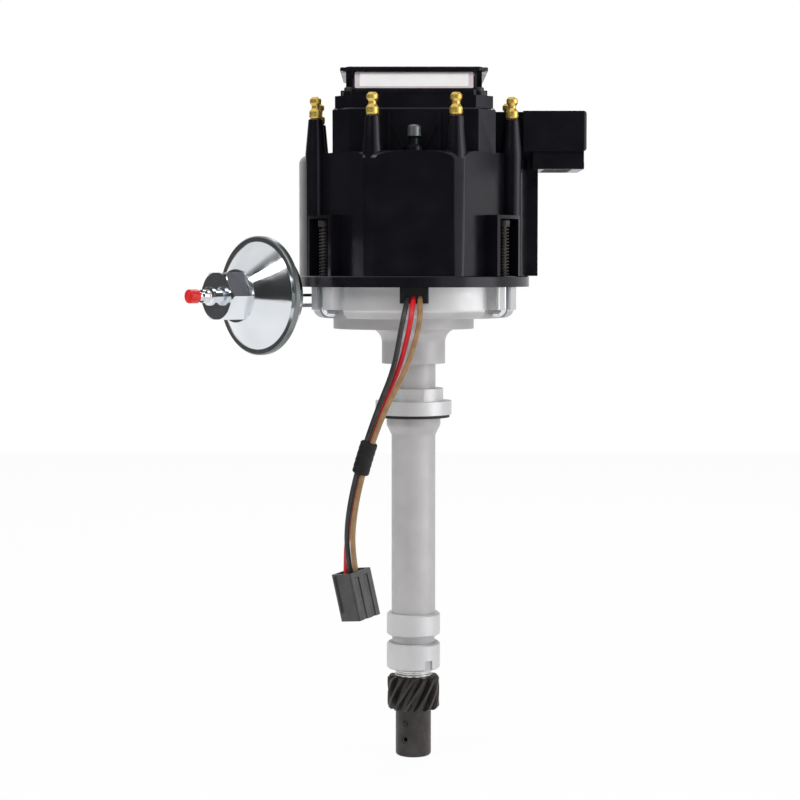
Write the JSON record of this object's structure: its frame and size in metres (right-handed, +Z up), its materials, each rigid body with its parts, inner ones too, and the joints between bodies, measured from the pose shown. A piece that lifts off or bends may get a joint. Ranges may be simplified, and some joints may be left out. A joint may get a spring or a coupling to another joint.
{
  "type": "ignition distributor",
  "caption": "Engine ignition distributor with a coil-in-cap top, vacuum advance canister, helical drive gear and a short wiring lead with a plug.",
  "frame": {"origin": "on the shaft axis at the underside of the mounting gasket, the plane that rests on the engine", "axes": "+Z up along the shaft toward the cap, -Y the front where the wiring lead leaves, +X the side of the connector block"},
  "size_m": [0.2277, 0.1423, 0.3999],
  "materials": {
    "cast_aluminium": "as-cast, fine grain, satin",
    "steel": "ground and oiled",
    "dark_steel": "black phosphate",
    "zinc": "bright zinc plate",
    "brass": "bright",
    "bronze": "sintered",
    "black_plastic": "moulded, glossy",
    "plug_plastic": "moulded",
    "white_plastic": "moulded",
    "gasket_rubber": "matt",
    "black_rubber": "matt",
    "red_rubber": "satin",
    "black_wire": "satin jacket",
    "red_wire": "satin jacket",
    "brown_wire": "satin jacket",
    "lamination": "stacked sheet",
    "potting": "cast resin",
    "magnet": "bonded ferrite",
    "copper_coil": "wound and varnished",
    "carbon": "pressed carbon",
    "label": "plain plate"
  },
  "bodies": {
    "distributor_body": {"housing": "cast_aluminium", "shaft_bushings": "bronze", "mounting_gasket": "gasket_rubber", "plate_clip": "steel", "ignition_module": "plug_plastic", "bowl_screws": "steel", "condenser": "zinc", "distributor_cap": "black_plastic", "tower_terminals": "brass", "cap_blades": "brass", "center_button": "carbon", "arc_seal": "black_rubber", "coil_core": "lamination", "coil_winding": "potting", "coil_screws": "dark_steel", "coil_cover": "black_plastic", "label_plate": "label", "vacuum_spring": "steel", "vacuum_front_shell": "zinc", "vacuum_rear_shell": "zinc", "vacuum_port_cap": "red_rubber", "diaphragm": "black_rubber", "harness_grommet": "black_rubber", "harness_wire_black": "black_wire", "harness_wire_red": "red_wire", "harness_wire_brown": "brown_wire", "wire_sleeve": "black_rubber", "harness_plug": "plug_plastic", "plug_terminals": "brass", "latch_spring_front_right": "dark_steel", "latch_spring_rear_right": "dark_steel", "latch_spring_rear_left": "dark_steel", "latch_spring_front_left": "dark_steel"},
    "drive_shaft": {"mainshaft": "steel", "drive_gear": "dark_steel", "gear_roll_pin": "dark_steel", "thrust_washers": "steel", "center_cam": "steel", "advance_springs": "steel"},
    "advance": {"timer_core": "steel", "advance_base": "steel", "rotor": "white_plastic", "rotor_blade": "brass", "rotor_screws": "steel"},
    "weight_a": {"advance_weight_a": "dark_steel"},
    "weight_b": {"advance_weight_b": "dark_steel"},
    "pickup": {"pickup_plate": "steel", "pickup_magnet": "magnet", "pickup_coil": "copper_coil", "pole_piece": "steel"},
    "vacuum_rod": {"pull_rod": "steel", "diaphragm_plate": "steel"},
    "latch_washer_front_right": {"latch_washer_front_right": "steel"},
    "latch_front_right": {"latch_rod_front_right": "zinc"},
    "latch_washer_rear_right": {"latch_washer_rear_right": "steel"},
    "latch_rear_right": {"latch_rod_rear_right": "zinc"},
    "latch_washer_rear_left": {"latch_washer_rear_left": "steel"},
    "latch_rear_left": {"latch_rod_rear_left": "zinc"},
    "latch_washer_front_left": {"latch_washer_front_left": "steel"},
    "latch_front_left": {"latch_rod_front_left": "zinc"}
  },
  "joints": [
    {"name": "shaft_spin", "type": "hinge", "parent": "distributor_body", "child": "drive_shaft", "pos_m": [0, 0, 0], "axis": [0, 0, 1], "continuous": true},
    {"name": "centrifugal_advance", "type": "hinge", "parent": "drive_shaft", "child": "advance", "pos_m": [0, 0, 0.095], "axis": [0, 0, -1], "range_deg": [0, 11], "stiffness_Nm_per_rad": 0.6, "deforming": ["advance_springs"]},
    {"name": "weight_a_swing", "type": "hinge", "parent": "advance", "child": "weight_a", "pos_m": [0.02625, 0, 0.094], "axis": [0, 0, -1], "range_deg": [0, 13.3]},
    {"name": "weight_b_swing", "type": "hinge", "parent": "advance", "child": "weight_b", "pos_m": [-0.02625, 0, 0.094], "axis": [0, 0, -1], "range_deg": [0, 13.3]},
    {"name": "vacuum_pull", "type": "slide", "parent": "distributor_body", "child": "vacuum_rod", "axis": [-0.7218, -0.6921, 0], "range_m": [0, 0.00644], "stiffness_N_per_m": 1200, "deforming": ["vacuum_spring", "diaphragm"]},
    {"name": "pickup_turn", "type": "hinge", "parent": "distributor_body", "child": "pickup", "pos_m": [0, 0, 0.067], "axis": [0, 0, 1], "range_deg": [0, 10]},
    {"name": "latch_press_front_right", "type": "slide", "parent": "distributor_body", "child": "latch_washer_front_right", "axis": [0, 0, -1], "range_m": [0, 0.002], "stiffness_N_per_m": 6000, "deforming": ["latch_spring_front_right"]},
    {"name": "latch_turn_front_right", "type": "hinge", "parent": "latch_washer_front_right", "child": "latch_front_right", "pos_m": [0.05062, -0.03545, 0.1], "axis": [0, 0, 1], "range_deg": [0, 180]},
    {"name": "latch_press_rear_right", "type": "slide", "parent": "distributor_body", "child": "latch_washer_rear_right", "axis": [0, 0, -1], "range_m": [0, 0.002], "stiffness_N_per_m": 6000, "deforming": ["latch_spring_rear_right"]},
    {"name": "latch_turn_rear_right", "type": "hinge", "parent": "latch_washer_rear_right", "child": "latch_rear_right", "pos_m": [0.05062, 0.03545, 0.1], "axis": [0, 0, 1], "range_deg": [0, 180]},
    {"name": "latch_press_rear_left", "type": "slide", "parent": "distributor_body", "child": "latch_washer_rear_left", "axis": [0, 0, -1], "range_m": [0, 0.002], "stiffness_N_per_m": 6000, "deforming": ["latch_spring_rear_left"]},
    {"name": "latch_turn_rear_left", "type": "hinge", "parent": "latch_washer_rear_left", "child": "latch_rear_left", "pos_m": [-0.05062, 0.03545, 0.1], "axis": [0, 0, 1], "range_deg": [0, 180]},
    {"name": "latch_press_front_left", "type": "slide", "parent": "distributor_body", "child": "latch_washer_front_left", "axis": [0, 0, -1], "range_m": [0, 0.002], "stiffness_N_per_m": 6000, "deforming": ["latch_spring_front_left"]},
    {"name": "latch_turn_front_left", "type": "hinge", "parent": "latch_washer_front_left", "child": "latch_front_left", "pos_m": [-0.05062, -0.03545, 0.1], "axis": [0, 0, 1], "range_deg": [0, 180]}
  ],
  "couplings": [
    {"joint": "weight_a_swing", "follows": "centrifugal_advance", "ratio": 1.2},
    {"joint": "weight_b_swing", "follows": "centrifugal_advance", "ratio": 1.2},
    {"joint": "pickup_turn", "follows": "vacuum_pull", "rad_per_m": 27.06}
  ]
}
